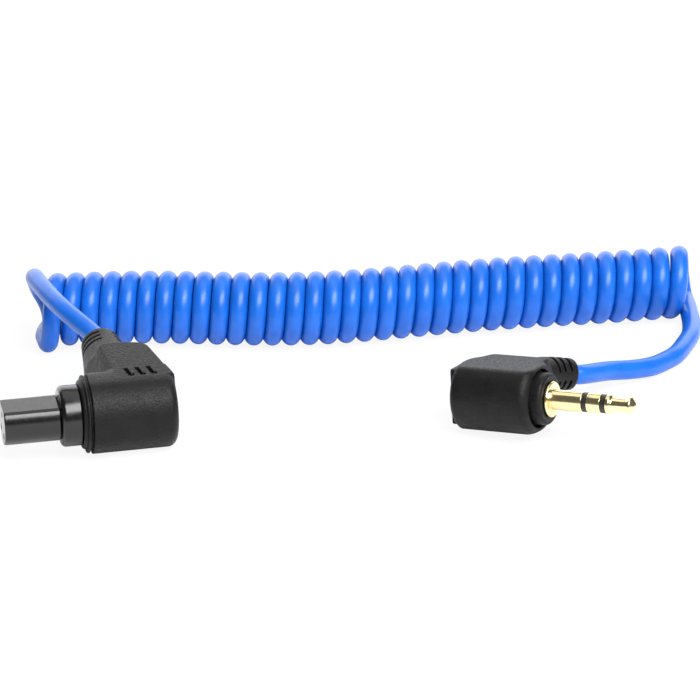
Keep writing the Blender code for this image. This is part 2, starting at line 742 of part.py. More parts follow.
def jack_pin(plug, gold, black):
    """Five turned pieces, one inside the other: sleeve, band, ring, band and tip."""
    rod, inner_band, ring_tube, outer_band = conductor_radii()
    sleeve_end = SLEEVE_LENGTH
    ring_start = sleeve_end + BAND_LENGTH + 2 * FIT_GAP
    ring_end = ring_start + RING_LENGTH
    tip_start = ring_end + BAND_LENGTH + 2 * FIT_GAP
    tip_end = tip_start + TIP_LENGTH
    sleeve_tail = lug_place(0) - LUG_THICKNESS - 0.2
    ring_tail = lug_place(1) - LUG_THICKNESS - 0.2
    tip_tail = lug_place(2) - LUG_THICKNESS - 0.2
    band_radius = PIN_RADIUS - BAND_INSET

    sleeve_bore = outer_band + FIT_GAP
    sleeve = [
        (sleeve_tail, sleeve_bore),
        (sleeve_tail, PIN_RADIUS),
        (-FLANGE_THICKNESS - SHANK_LENGTH, PIN_RADIUS),
        (-FLANGE_THICKNESS - SHANK_LENGTH, SHANK_RADIUS),
        (-FLANGE_THICKNESS, SHANK_RADIUS),
        (-FLANGE_THICKNESS, FLANGE_RADIUS - 0.08),
        (-FLANGE_THICKNESS + 0.08, FLANGE_RADIUS),
        (-0.12, FLANGE_RADIUS),
        (0, FLANGE_RADIUS - 0.12),
        (0, PIN_RADIUS),
        (sleeve_end, PIN_RADIUS),
        (sleeve_end, sleeve_bore),
    ]
    add_piece("jack_sleeve", turned(sleeve), plug, gold)

    back_band = [
        (sleeve_tail - 0.2, ring_tube + FIT_GAP),
        (sleeve_tail - 0.2, outer_band),
        (sleeve_end + FIT_GAP, outer_band),
        (sleeve_end + FIT_GAP, band_radius),
        (ring_start - FIT_GAP, band_radius),
        (ring_start - FIT_GAP, ring_tube + FIT_GAP),
    ]
    add_piece("jack_sleeve_insulator", turned(back_band), plug, black)

    ring = [
        (ring_tail, inner_band + FIT_GAP),
        (ring_tail, ring_tube),
        (ring_start, ring_tube),
        (ring_start, PIN_RADIUS),
        (ring_end, PIN_RADIUS),
        (ring_end, inner_band + FIT_GAP),
    ]
    add_piece("jack_ring", turned(ring), plug, gold)

    front_band = [
        (ring_tail - 0.2, rod + FIT_GAP),
        (ring_tail - 0.2, inner_band),
        (ring_end + FIT_GAP, inner_band),
        (ring_end + FIT_GAP, band_radius - BAND_INSET),
        (tip_start - FIT_GAP, band_radius - BAND_INSET),
        (tip_start - FIT_GAP, rod + FIT_GAP),
    ]
    add_piece("jack_ring_insulator", turned(front_band), plug, black)

    waist_start = tip_start + TIP_SHOULDER_LENGTH
    head_start = tip_end - TIP_HEAD_LENGTH
    tip = [
        (tip_tail, 0),
        (tip_tail, rod),
        (tip_start, rod),
        (tip_start, band_radius - 0.1),
        (tip_start + 0.1, band_radius),
        (waist_start - 0.3, band_radius),
        (waist_start, TIP_WAIST_RADIUS + 0.05),
        (waist_start + 0.15, TIP_WAIST_RADIUS),
        (head_start - 0.1, TIP_WAIST_RADIUS),
        (head_start + 0.35, TIP_HEAD_RADIUS),
        (head_start + 0.55, TIP_HEAD_RADIUS),
        (tip_end - 0.15, 0.32),
        (tip_end, 0.1),
        (tip_end, 0),
    ]
    add_piece("jack_tip", turned(tip), plug, gold)


def jack_lugs(plug, finish):
    """A washer with a solder tab on the back of each conductor."""
    rod, _, ring_tube, _ = conductor_radii()
    for i, (use, radius) in enumerate((("sleeve", PIN_RADIUS), ("ring", ring_tube), ("tip", rod))):
        front = lug_place(i)
        back = front - LUG_THICKNESS
        inner = radius + FIT_GAP
        outer = inner + LUG_RIM
        shape = turned(tube_outline(back, front, inner, outer), SMALL_SIDES + 8)
        piece = add_piece(f"jack_{use}_lug", shape, plug, finish)
        half = LUG_TAB_WIDTH / 2
        tab = box((back + 0.02, inner + 0.2, -half), (front - 0.02, outer + LUG_TAB_LENGTH, half))
        combine(piece, "UNION", add_helper(f"{use}_tab_shape", tab, plug))


def jack_wires(plug, finishes):
    rod, _, ring_tube, _ = conductor_radii()
    ends = wire_ends(JACK_LINE, JACK_CORD_DEPTH)
    ends = dict(zip(("sleeve", "ring", "tip"), ends))
    radii = {"sleeve": PIN_RADIUS, "ring": ring_tube, "tip": rod}
    for i, (use, finish) in enumerate(finishes.items()):
        tab_end = radii[use] + FIT_GAP + LUG_RIM + LUG_TAB_LENGTH + MEETING_GAP
        a = lug_place(i) - LUG_THICKNESS / 2
        start = Vector((a, tab_end, 0))
        end = ends[use]
        turns = SLEEVE_WIRE_TURNS if use == "sleeve" else ((0, 0.2, 0),)
        route = [start] + [start + Vector(turn) for turn in turns]
        route += [end - Vector((0, 0.7, 0)), end]
        points = resampled(smooth_line(route), 0.8, math.radians(25))
        tube(f"jack_wire_{use}", points, WIRE_DIAMETER, finish, plug, 1)


# Cord


def smooth_line(route, steps=24):
    """Closely spaced points on a smooth curve through the route: cubic pieces, each of which
    starts and ends along the line between its end's neighbours."""
    route = [Vector(point) for point in route]
    places = [0.0]
    for point, following in zip(route, route[1:]):
        places.append(places[-1] + (following - point).length)
    last = len(route) - 1
    headings = []
    for i in range(len(route)):
        before, after = max(i - 1, 0), min(i + 1, last)
        headings.append((route[after] - route[before]) / (places[after] - places[before]))
    dense = []
    for i in range(last):
        span = places[i + 1] - places[i]
        for step in range(steps):
            t = step / steps
            dense.append(
                route[i] * (2 * t**3 - 3 * t**2 + 1)
                + route[i + 1] * (3 * t**2 - 2 * t**3)
                + headings[i] * span * (t**3 - 2 * t**2 + t)
                + headings[i + 1] * span * (t**3 - t**2)
            )
    return dense + [route[-1]]


def resampled(dense, longest, turn):
    """Fewer points: a new one after the longest step or the given turn, whichever comes first."""
    kept = [dense[0]]
    heading = (dense[1] - dense[0]).normalized()
    run = 0.0
    for i in range(1, len(dense) - 1):
        run += (dense[i] - dense[i - 1]).length
        ahead = (dense[i + 1] - dense[i]).normalized()
        if run >= longest or ahead.angle(heading) > turn:
            kept.append(dense[i])
            heading = ahead
            run = 0.0
    kept.append(dense[-1])
    return kept


def sway(turn):
    """How far the coil's axis lies from straight, in Y, at a turn counted from the middle."""
    share = math.pi * turn / (FRONT_STRANDS - 1)
    bow, weave, bend, ripple = COIL_SWAY
    return (
        bow * math.cos(share)
        + weave * math.sin(2 * share)
        + bend * math.cos(3 * share)
        + ripple * math.sin(4 * share)
    )


def opened(share):
    """How far a coil's end has opened: it grows with the square of the share past its start."""
    return min(max(share, 0), 1) ** 2


def coil_point(turn):
    """A point of the cord's middle line. Whole turns are at the front, and the front goes up."""
    angle = math.tau * turn
    first, last = coil_ends()
    left = opened((first + OPENING_TURN - turn) / OPENING_TURN)
    right = opened((turn - last + OPENING_TURN) / OPENING_TURN)
    return Vector(
        (
            COIL_PLACE
            + COIL_PITCH * turn
            + LEFT_OPENING[0] * left
            + RIGHT_OPENING[0] * right,
            sway(turn)
            - TURN_RADIUS * math.cos(angle)
            + LEFT_OPENING[1] * left
            + RIGHT_OPENING[1] * right,
            COIL_AXIS_HEIGHT + TABLE_CLEARANCE + TURN_RADIUS * math.sin(angle),
        )
    )


def coil_ends():
    half = (FRONT_STRANDS - 1) / 2
    return -half - LEFT_PART_TURN, half + RIGHT_PART_TURN


def coil_end(turn, outward):
    """The coil's end face: one tube diameter straight on from its last turn, and its direction."""
    small = 0.002 * outward
    ahead = (coil_point(turn + small) - coil_point(turn - small)).normalized()
    return coil_point(turn) + ahead * COIL_TUBE, ahead


def coil_points():
    first, last = coil_ends()
    count = round((last - first) * CURL_POINTS) + 1
    points = [coil_point(turn) for turn in np.linspace(first, last, count)]
    return [coil_end(first, -1)[0]] + points + [coil_end(last, 1)[0]]


def least_gap(points, diameter, apart):
    """The least gap between stretches of one tube that lie at least apart points from each other."""
    line = np.array([list(point) for point in points])
    shares = np.linspace(0, 1, 4, endpoint=False)[:, None, None]
    fine = (line[:-1] + (line[1:] - line[:-1]) * shares).transpose(1, 0, 2).reshape(-1, 3)
    least = math.inf
    for shift in range(apart * 4, apart * 12):
        least = min(least, np.linalg.norm(fine[shift:] - fine[:-shift], axis=1).min())
    return least - diameter


def curly_cord(cable, finish):
    points = coil_points()
    gap = least_gap(points, COIL_TUBE, CURL_POINTS // 2)
    print(f"curly cord: least gap between its turns {gap:.3f} mm")
    tube("curly_cord", points, COIL_TUBE, finish, cable, 1)


def in_cable(plug, point):
    """A point of a plug's axes, in the cable's axes."""
    place = Matrix.Translation(plug.location / MM) @ Euler(plug.rotation_euler).to_matrix().to_4x4()
    return place @ Vector(point)


def lead(name, plug, line, depth, route, turn, outward, straight, finish, cable):
    """The stretch of cord from inside a plug's arm to the coil's end, which it meets straight on
    over the given length."""
    end, ahead = coil_end(turn, outward)
    start = [in_cable(plug, point) for point in line.points(-depth, line.length, BORE_STEP)]
    past_mouth = line.point(line.length) + line.ahead(line.length) * STRAIGHT_LEAD
    finish_line = [end + ahead * (MEETING_GAP + straight)] * (straight > 0)
    finish_line.append(end + ahead * MEETING_GAP)
    loose = [start[-1], in_cable(plug, past_mouth)] + [Vector(p) for p in route] + finish_line
    dense = smooth_line(loose)
    points = start[:-1] + resampled(dense, LEAD_STEP * CORD_DIAMETER, LEAD_TURN)
    for point in points:
        point.z = max(point.z, LEAD_HEIGHT)
    print(f"{name}: {length(points):.1f} mm long")
    tube(name, points, CORD_DIAMETER, finish, cable)
    return length(points)


def length(points):
    return sum((following - point).length for point, following in zip(points, points[1:]))


CAMERA_ROUTE = (
    (-40.3, -13.6, 9.3),
    (-42.4, -9.1, 9.8),
    (-43.9, -4.8, 10.0),
    (-44.9, -1.2, 9.9),
    (-45.3, 2.2, 8.9),
    (-45.2, 4.4, 6.6),
    (-44.7, 5.1, 3.8),
    (-44.8, 3.3, 1.75),
)

JACK_ROUTE = (
    (29.0, -26.9, 2.6),
    (32.6, -24.9, 1.9),
    (35.4, -22.9, 1.45),
    (37.6, -20.65, LEAD_HEIGHT),
    (39.3, -18.7, LEAD_HEIGHT),
    (41.2, -15.0, LEAD_HEIGHT),
    (42.8, -11.2, LEAD_HEIGHT),
    (43.8, -6.8, LEAD_HEIGHT),
    (44.4, -2.4, LEAD_HEIGHT),
    (44.85, 2.5, LEAD_HEIGHT),
    (44.79, 3.96, 1.7),
    (44.71, 4.93, 2.82),
    (44.56, 5.18, 4.27),
)


# Placing


def corners(objects):
    """The lowest and highest corners of the box round objects, in metres."""
    bpy.context.view_layer.update()
    graph = bpy.context.evaluated_depsgraph_get()
    points = []
    for thing in objects:
        seen = thing.evaluated_get(graph)
        mesh = seen.to_mesh()
        points += [seen.matrix_world @ vert.co for vert in mesh.vertices]
        seen.to_mesh_clear()
    places = np.array([list(point) for point in points])
    return places.min(axis=0), places.max(axis=0)


def pieces_of(plug):
    return [child for child in plug.children if not child.hide_render]


def stand_on_table(plug):
    low, _ = corners(pieces_of(plug))
    plug.location.z -= low[2]


def main():
    clear_scene()
    black = material("black_pvc", (0.022, 0.022, 0.023), 0.6)
    glossy = material("black_abs", (0.012, 0.012, 0.013), 0.18)
    clear_mould = material("natural_polyethylene", (0.55, 0.54, 0.5), 0.5)
    gold = material("gold_plate", (0.8, 0.56, 0.2), 0.2, 1.0)
    tin = material("tinned_brass", (0.6, 0.58, 0.52), 0.35, 1.0)
    blue = material("blue_polyurethane", (0.035, 0.16, 0.75), 0.35)
    red = material("red_wire", (0.5, 0.02, 0.02), 0.45)
    white = material("white_wire", (0.75, 0.75, 0.73), 0.45)
    bare = material("copper_screen", (0.6, 0.28, 0.12), 0.4, 1.0)

    cable = add_axes("cable")
    camera = plug_axes(
        "camera_plug", cable, CAMERA_PLACE, CAMERA_YAW, CAMERA_PITCH, CAMERA_ROLL
    )
    camera_overmould(camera, black)
    camera_inner_mould(camera, clear_mould)
    camera_nose(camera, glossy)
    camera_collar(camera, glossy)
    for use in CONTACT_PLACES:
        camera_contact(use, camera, gold)
    camera_wires(camera, {"ground": bare, "shutter": red, "focus": white})
    stand_on_table(camera)

    jack = plug_axes("jack_plug", cable, JACK_PLACE, JACK_YAW, JACK_PITCH, JACK_ROLL)
    jack_overmould(jack, black)
    jack_inner_mould(jack, clear_mould)
    jack_pin(jack, gold, black)
    jack_lugs(jack, tin)
    jack_wires(jack, {"sleeve": bare, "ring": white, "tip": red})
    stand_on_table(jack)

    first, last = coil_ends()
    curly_cord(cable, blue)
    leads = lead("camera_end_lead", camera, CAMERA_LINE, CAMERA_CORD_DEPTH, CAMERA_ROUTE,
                 first, -1, CORD_DIAMETER, blue, cable)
    leads += lead("jack_end_lead", jack, JACK_LINE, JACK_CORD_DEPTH, JACK_ROUTE,
                  last, 1, 0, blue, cable)
    print(f"cord: {leads + length(coil_points()):.0f} mm long in all")

    jack_front = Vector((0, 0, (PIN_RADIUS + FLANGE_RADIUS) / 2))
    for name, plug, point, way in (
        ("camera_plug_face", camera, Vector((nose_end(), 0, 0)), Vector((-1, 0, 0))),
        ("jack_flange_face", jack, jack_front, Vector((1, 0, 0))),
    ):
        turn = Euler(plug.rotation_euler).to_matrix()
        place = in_cable(plug, point)
        print(name, "in the coil's axes, mm:", [round(v, 4) for v in place],
              "axis:", [round(v, 5) for v in turn @ way])
    low, high = corners(pieces_of(camera) + pieces_of(jack))
    cable.location = (-(low[0] + high[0]) / 2, -(low[1] + high[1]) / 2, 0)
    print("origin in the coil's axes, mm:", [round(-value / MM, 4) for value in cable.location[:2]])


main()
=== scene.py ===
"""Coiled shutter release cable, for rendering.

One right-angle plug has a D-shaped nose with three contacts and goes to a camera. The other is a
2.5 mm stereo jack. A blue curly cord joins them. Shapes are worked out in millimetres. A plug has
its own axes: a along its pin, b along the arm that the cord comes out of, and c upwards.
"""

import math

import bpy
import numpy as np
from mathutils import Euler, Matrix, Vector


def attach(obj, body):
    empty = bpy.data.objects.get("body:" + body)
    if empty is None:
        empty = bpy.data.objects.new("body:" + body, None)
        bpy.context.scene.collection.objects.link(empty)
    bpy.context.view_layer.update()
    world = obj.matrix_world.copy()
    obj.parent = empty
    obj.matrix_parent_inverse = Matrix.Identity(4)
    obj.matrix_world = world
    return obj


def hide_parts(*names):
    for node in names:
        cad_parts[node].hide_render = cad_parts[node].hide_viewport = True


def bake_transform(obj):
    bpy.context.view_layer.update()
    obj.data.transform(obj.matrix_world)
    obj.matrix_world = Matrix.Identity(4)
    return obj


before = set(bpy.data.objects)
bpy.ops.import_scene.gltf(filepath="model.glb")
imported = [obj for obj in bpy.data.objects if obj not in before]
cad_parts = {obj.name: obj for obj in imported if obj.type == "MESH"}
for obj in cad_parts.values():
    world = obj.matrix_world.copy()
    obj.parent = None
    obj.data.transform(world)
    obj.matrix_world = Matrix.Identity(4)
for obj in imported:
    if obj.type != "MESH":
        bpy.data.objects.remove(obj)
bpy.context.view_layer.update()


# The camera
# A long lens in front of the cord, 20 degrees above the table and almost square to the coil. It is
# held 1.5 degrees askew.

elevation = math.radians(20)
azimuth = math.radians(3.17)
askew = math.radians(1.5)
eye = Vector((-0.0105271, -0.2773641, 0.111))
forward = Vector((math.sin(azimuth), math.cos(azimuth), -math.tan(elevation))).normalized()
level = Vector((math.cos(azimuth), -math.sin(azimuth), 0))
upright = level.cross(forward)
right = level * math.cos(askew) - upright * math.sin(askew)
up = level * math.sin(askew) + upright * math.cos(askew)

lens = bpy.data.cameras.new("camera")
lens.lens = 123.43
lens.sensor_width = 36
lens.clip_start = 0.01
viewer = bpy.data.objects.new("camera", lens)
facing = Matrix((right, up, -forward)).transposed().to_4x4()
viewer.matrix_world = Matrix.Translation(eye) @ facing
bpy.context.scene.collection.objects.link(viewer)
bpy.context.scene.camera = viewer


# The cord
# A round jacket of blue polyurethane over three stranded wires. The middle was wound on a rod and
# heated until it kept its turns, and each end goes into a plug's strain relief.

MM = 0.001
CORD_RADIUS = 1.25
LEAD_HEIGHT = 1.27  # of the middle of a lead that lies on the table

COIL_PLACE = np.array((9.2729, 34.7359, 0.0))
COIL_RADIUS, COIL_PITCH = 3.75, 2.51
COIL_HEIGHT, COIL_MIDDLE = 5.02, -0.25
FIRST_TURN, LAST_TURN = -17.25, 17.40
SWAYING_TURNS = 34
SWAYS = (-3.09, 0.43, -0.66, 0.52)
OPENED_TURNS = 0.45
FIRST_PULL, LAST_PULL = (-0.3, -2.9), (0.6, 0.3)  # in x and y
STRAIGHT_END = 2.01


def coil_line(turn):
    """The coil: a helix about a line that sways over the table, by the sum of one, two, three and
    four half waves. Its first and last turns are pulled open, by the square of the share of the
    way to the end."""
    share = math.pi * turn / SWAYING_TURNS
    waves = (np.cos(share), np.sin(2 * share), np.cos(3 * share), np.sin(4 * share))
    sway = sum(size * wave for size, wave in zip(SWAYS, waves))
    first = np.clip((FIRST_TURN + OPENED_TURNS - turn) / OPENED_TURNS, 0, 1) ** 2
    last = np.clip((turn - (LAST_TURN - OPENED_TURNS)) / OPENED_TURNS, 0, 1) ** 2
    angle = 2 * math.pi * turn
    x = COIL_MIDDLE + COIL_PITCH * turn + FIRST_PULL[0] * first + LAST_PULL[0] * last
    y = sway - COIL_RADIUS * np.cos(angle) + FIRST_PULL[1] * first + LAST_PULL[1] * last
    z = COIL_HEIGHT + COIL_RADIUS * np.sin(angle)
    return np.column_stack((x, y, z))


# 64 points a turn, and each end carried straight on. coil_ends has each end and its direction.
helix = coil_line(np.linspace(FIRST_TURN, LAST_TURN, round(64 * (LAST_TURN - FIRST_TURN)) + 1))
coil_ends = []
for place, turn, outward in ((helix[0], FIRST_TURN, -0.002), (helix[-1], LAST_TURN, 0.002)):
    before, after = coil_line(np.array((turn - outward, turn + outward)))
    ahead = (after - before) / np.linalg.norm(after - before)
    coil_ends.append((place + ahead * STRAIGHT_END, ahead))
helix = np.concatenate(([coil_ends[0][0]], helix, [coil_ends[1][0]]))


def colour(code):
    """The linear values of an sRGB hex code."""
    parts = [int(code[i : i + 2], 16) / 255 for i in (1, 3, 5)]
    return [p / 12.92 if p <= 0.04045 else ((p + 0.055) / 1.055) ** 2.4 for p in parts] + [1]


def add_node(tree, kind, values=None, links=None, **settings):
    """Adds a node with its settings, and gives its inputs their values and links."""
    made = tree.nodes.new(kind)
    for name, value in settings.items():
        setattr(made, name, value)
    for name, value in (values or {}).items():
        made.inputs[name].default_value = value
    for name, source in (links or {}).items():
        tree.links.new(source, made.inputs[name])
    return made


def new_finish(name, values, mottle=None, gloss=None, relief=None):
    """A material with these values on its Principled shader. Noise may vary its colour, its
    roughness and its height. Each of the three gives the noise's features per millimetre and its
    detail, and then two hex colours, two roughnesses, or the depth of the relief in millimetres.
    Most of the noise lies between 0.3 and 0.7, so that is what is spread over the two."""
    made = bpy.data.materials.new(name)
    made.use_nodes = True
    tree = made.node_tree
    shader = tree.nodes["Principled BSDF"]
    for key, value in values.items():
        shader.inputs[key].default_value = value
    where = add_node(tree, "ShaderNodeTexCoord").outputs["Object"]
    scaled = add_node(tree, "ShaderNodeVectorMath", links={0: where}, operation="SCALE")
    scaled.inputs["Scale"].default_value = 1 / MM
    patterns = {"Base Color": mottle, "Roughness": gloss, "Normal": relief}
    for key, pattern in patterns.items():
        if not pattern:
            continue
        noise = add_node(
            tree,
            "ShaderNodeTexNoise",
            {"Scale": pattern[0], "Detail": pattern[1]},
            {"Vector": scaled.outputs[0]},
        ).outputs["Fac"]
        if key == "Normal":
            depth = {"Strength": 1.0, "Distance": pattern[2] * MM}
            varied = add_node(tree, "ShaderNodeBump", depth, {"Height": noise}).outputs[0]
        else:
            low, high = pattern[2:] if key == "Roughness" else (0, 1)
            span = {"From Min": 0.3, "From Max": 0.7, "To Min": low, "To Max": high}
            varied = add_node(tree, "ShaderNodeMapRange", span, {"Value": noise}).outputs[0]
        if key == "Base Color":
            varied = add_node(
                tree,
                "ShaderNodeMix",
                {6: colour(pattern[2]), 7: colour(pattern[3])},
                {0: varied},
                data_type="RGBA",
            ).outputs[2]
        tree.links.new(varied, shader.inputs[key])
    return made


# Extruded polyurethane: satin, and a little translucent, so that light from the next turn deepens
# the grooves. Faint clouds 3 mm wide and a die grain of 0.14 mm keep it from looking like paint.
jacket = new_finish(
    "blue_polyurethane",
    {
        "Specular IOR Level": 0.4,
        "Subsurface Weight": 0.12,
        "Subsurface Radius": (0.25, 0.45, 1.0),
        "Subsurface Scale": 0.0007,
    },
    mottle=(0.35, 2.0, "#0a58b8", "#1362c6"),
    gloss=(7.0, 3.0, 0.29, 0.40),
    relief=(7.0, 3.0, 0.006),
)


def round_section(radius, sides, finish):
    """Geometry nodes that give a line of edges a round section, closed at both ends."""
    tree = bpy.data.node_groups.new("round_section", "GeometryNodeTree")
    tree.interface.new_socket("Line", in_out="INPUT", socket_type="NodeSocketGeometry")
    tree.interface.new_socket("Tube", in_out="OUTPUT", socket_type="NodeSocketGeometry")
    line = add_node(tree, "NodeGroupInput").outputs[0]
    curve = add_node(tree, "GeometryNodeMeshToCurve", links={0: line})
    ring = add_node(
        tree, "GeometryNodeCurvePrimitiveCircle", {"Resolution": sides, "Radius": radius * MM}
    )
    tube = add_node(
        tree,
        "GeometryNodeCurveToMesh",
        {"Fill Caps": True},
        {"Curve": curve.outputs[0], "Profile Curve": ring.outputs[0]},
    )
    smooth = add_node(tree, "GeometryNodeSetShadeSmooth", links={0: tube.outputs[0]})
    painted = add_node(
        tree, "GeometryNodeSetMaterial", {"Material": finish}, {"Geometry": smooth.outputs[0]}
    )
    add_node(tree, "NodeGroupOutput", links={0: painted.outputs[0]})
    return tree


coil = (helix + COIL_PLACE) * MM
coil_mesh = bpy.data.meshes.new("coil")
edges = np.arange(len(coil) - 1)[:, None] + (0, 1)
coil_mesh.from_pydata(coil.tolist(), edges.tolist(), [])
coil_mesh.materials.append(jacket)
coil_piece = bpy.data.objects.new("cord_coil", coil_mesh)
bpy.context.scene.collection.objects.link(coil_piece)
coil_piece.modifiers.new("tube", "NODES").node_group = round_section(CORD_RADIUS, 20, jacket)
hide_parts("curly_cord")
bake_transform(coil_piece)


# The two leads
# The cord's loose ends, in the same jacket. Each leaves a plug's arm through the strain relief.
# One arches past the coil's left end and comes down behind it, and the other lies on the table and
# rises behind its right end.


def lying(location, angles):
    """Where a plug lies: from its own axes, in millimetres, to the row frame's metres."""
    turn = Euler([math.radians(angle) for angle in angles]).to_matrix().to_4x4()
    return Matrix.Translation(location) @ turn @ Matrix.Scale(MM, 4)


CAMERA_PLUG = lying((-0.0273771, -0.0050141, 0.0050279), (6.5, 1.3, 11.0))
JACK_PLUG = lying((0.0289729, -0.0080642, 0.0052665), (-5.0, -4.5, -32.0))

# For each arm: its end, the length of the relief beyond it, and how far that bends and which way.
CAMERA_ARM = ((4.5, 9.9, 0.0), 8.6, 6, 110)
JACK_ARM = ((-5.9, 4.6, 0.7), 8.8, 42, -16)

# The leads' courses, from the coil's own place.
CAMERA_ROUTE = (
    (-40.3, -13.6, 9.3),
    (-42.4, -9.1, 9.8),
    (-43.9, -4.8, 10.0),
    (-44.9, -1.2, 9.9),
    (-45.3, 2.2, 8.9),
    (-44.95, 4.6, 6.4),
    (-44.0, 5.05, 4.0),
    (-43.65, 3.9, 2.0),
    (-44.3, 1.9, 1.3),
)
JACK_ROUTE = (
    (29.0, -26.9, 2.6),
    (32.6, -24.9, 1.9),
    (35.4, -22.9, 1.45),
    (37.6, -20.65, LEAD_HEIGHT),
    (39.3, -18.7, LEAD_HEIGHT),
    (41.2, -15.0, LEAD_HEIGHT),
    (42.8, -11.2, LEAD_HEIGHT),
    (43.8, -6.8, LEAD_HEIGHT),
    (44.4, -2.4, LEAD_HEIGHT),
    (44.85, 2.5, LEAD_HEIGHT),
    (44.79, 3.96, 1.7),
    (44.71, 4.93, 2.82),
    (44.56, 5.18, 4.27),
)


def arm_line(start, length, bend, way):
    """The cord's line in an arm: a function from the distance past the arm's end to a point and a
    direction. It is straight inside the arm and then an arc towards way, an angle from a to c."""
    start = np.array(start)
    bend, way = math.radians(bend), math.radians(way)
    out = np.array((math.cos(way), 0, math.sin(way)))
    along = np.array((0.0, 1.0, 0.0))

    def at(past):
        if past <= 0:
            return start + along * past, along
        angle = past / length * bend
        reach = length / bend
        point = start + along * reach * math.sin(angle) + out * reach * (1 - math.cos(angle))
        return point, along * math.cos(angle) + out * math.sin(angle)

    return at


def smooth_line(route, steps=24):
    """Points on a smooth curve through the route. Between two of its points the curve is the cubic
    whose ends run along the line between each end's neighbours."""
    route = np.array(route, float)
    gaps = np.linalg.norm(np.diff(route, axis=0), axis=1)
    places = np.concatenate(([0], np.cumsum(gaps)))
    before = np.maximum(np.arange(len(route)) - 1, 0)
    after = np.minimum(np.arange(len(route)) + 1, len(route) - 1)
    headings = (route[after] - route[before]) / (places[after] - places[before])[:, None]
    t = np.linspace(0, 1, steps, endpoint=False)[:, None]
    pieces = [
        route[i] * (2 * t**3 - 3 * t**2 + 1)
        + route[i + 1] * (3 * t**2 - 2 * t**3)
        + headings[i] * gaps[i] * (t**3 - 2 * t**2 + t)
        + headings[i + 1] * gaps[i] * (t**3 - t**2)
        for i in range(len(gaps))
    ]
    return np.concatenate(pieces + [route[-1:]])


def evenly(points, step):
    """The same line with its points a step apart."""
    gaps = np.linalg.norm(np.diff(points, axis=0), axis=1)
    places = np.concatenate(([0], np.cumsum(gaps)))
    wanted = np.linspace(0, places[-1], round(places[-1] / step) + 1)
    return np.column_stack([np.interp(wanted, places, column) for column in points.T])


def lead_line(plug, arm, depth, route, coil_end, straight):
    """One end of the cord: from this depth inside a plug's arm, along the route and onto the
    coil's end, which it meets through points at these distances straight ahead of it. It never
    sinks into the table."""

    def in_row(point):
        return np.array(plug @ Vector(point)) / MM

    line, length = arm_line(*arm), arm[1]
    mouth, ahead = line(length)
    inside = [in_row(line(past)[0]) for past in np.linspace(-depth, length, 20)]
    end, onward = coil_end
    loose = [in_row(mouth), in_row(mouth + ahead)]
    loose += [np.array(point) + COIL_PLACE for point in route]
    loose += [end + COIL_PLACE + onward * far for far in straight]
    points = evenly(np.concatenate((inside[:-1], smooth_line(loose))), step=0.4)
    points[:, 2] = np.maximum(points[:, 2], LEAD_HEIGHT)
    return points * MM


def lead(name, points, body, node):
    """A loose end of the cord, as a curve with a round section."""
    curve = bpy.data.curves.new(name, "CURVE")
    curve.dimensions = "3D"
    spline = curve.splines.new("POLY")
    spline.points.add(len(points) - 1)
    spline.points.foreach_set("co", np.column_stack((points, np.ones(len(points)))).ravel())
    spline.use_smooth = True
    curve.bevel_depth = CORD_RADIUS * MM
    curve.bevel_resolution = 9
    curve.use_fill_caps = True
    curve.materials.append(jacket)
    made = bpy.data.objects.new(name, curve)
    bpy.context.scene.collection.objects.link(made)
    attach(made, body)
    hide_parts(node)


lead(
    "cord_camera_end",
    lead_line(CAMERA_PLUG, CAMERA_ARM, 4.7, CAMERA_ROUTE, coil_ends[0], (1.0, 0)),
    "camera_end",
    "camera_end_lead",
)
lead(
    "cord_jack_end",
    lead_line(JACK_PLUG, JACK_ARM, 0.4, JACK_ROUTE, coil_ends[1], (0.3, 0)),
    "jack_end",
    "jack_end_lead",
)


# The camera plug's overmould
# Soft black PVC, injected round the soldered wires in a spark-eroded mould. It has a barrel with
# flat top and bottom, an arm square to it, and a ribbed strain relief round the cord.

BORE_RADIUS = 1.27
CAMERA_RADIUS, CAMERA_BACK = 4.9, 10.4
CAMERA_TOP = 4.7  # from the axis to the barrel's upper flat, and to its lower one
CAMERA_STEP_DOWN = 0.2  # from the barrel's flats to the arm's
GRIP_MARKS = (4.75, 6.13, 7.51)
MARK_FLOOR = 4.3

# The rings at the barrel's front, by radius, middle, half length and rounding: the rim, the bottom
# of the groove behind it, and the step that the collar sits against.
CAMERA_RINGS = ((4.76, -0.46, 0.17, 0.15), (4.35, 0.0, 0.5, 0.05), (4.25, 1.9, 3.0, 0.35))

# The radii of a relief's root and mouth, and the angles over which its slots are open.
CAMERA_RELIEF = (3.45, 2.4)
CAMERA_SLOTS = ((-125, -8), (32, 115))
FIRST_SLOT, SLOT_PITCH, SLOT_HALF_WIDTH, SLOT_DEPTH = 1.5, 1.15, 0.21, 0.45


def both(first, second, rounding):
    """The distance to what lies in both shapes, with their shared edge rounded to this radius."""
    inner = np.minimum(np.maximum(first, second), -rounding)
    return inner + np.hypot(np.maximum(first + rounding, 0), np.maximum(second + rounding, 0))


def either(first, second, fillet):
    """The distance to what lies in either shape, with a fillet of this radius between them."""
    return -both(-first, -second, fillet)


def without(first, second, rounding=0.06):
    """The distance to what lies in the first shape and outside the second."""
    return both(first, -second, rounding)


def cut_by(shape, *sides):
    """The distance to what each side leaves of the shape. A side has its own distance, and the
    rounding of the edge that it leaves."""
    for side, rounding in sides:
        shape = both(shape, side, rounding)
    return shape


def within(x, middle, half):
    """The distance to the slab that reaches this far on each side of its middle."""
    return np.abs(x - middle) - half


def across(x, y, start, end):
    """The distance to the left of the line from start to end."""
    (x0, y0), (x1, y1) = start, end
    return ((x1 - x0) * (y - y0) - (y1 - y0) * (x - x0)) / np.hypot(x1 - x0, y1 - y0)


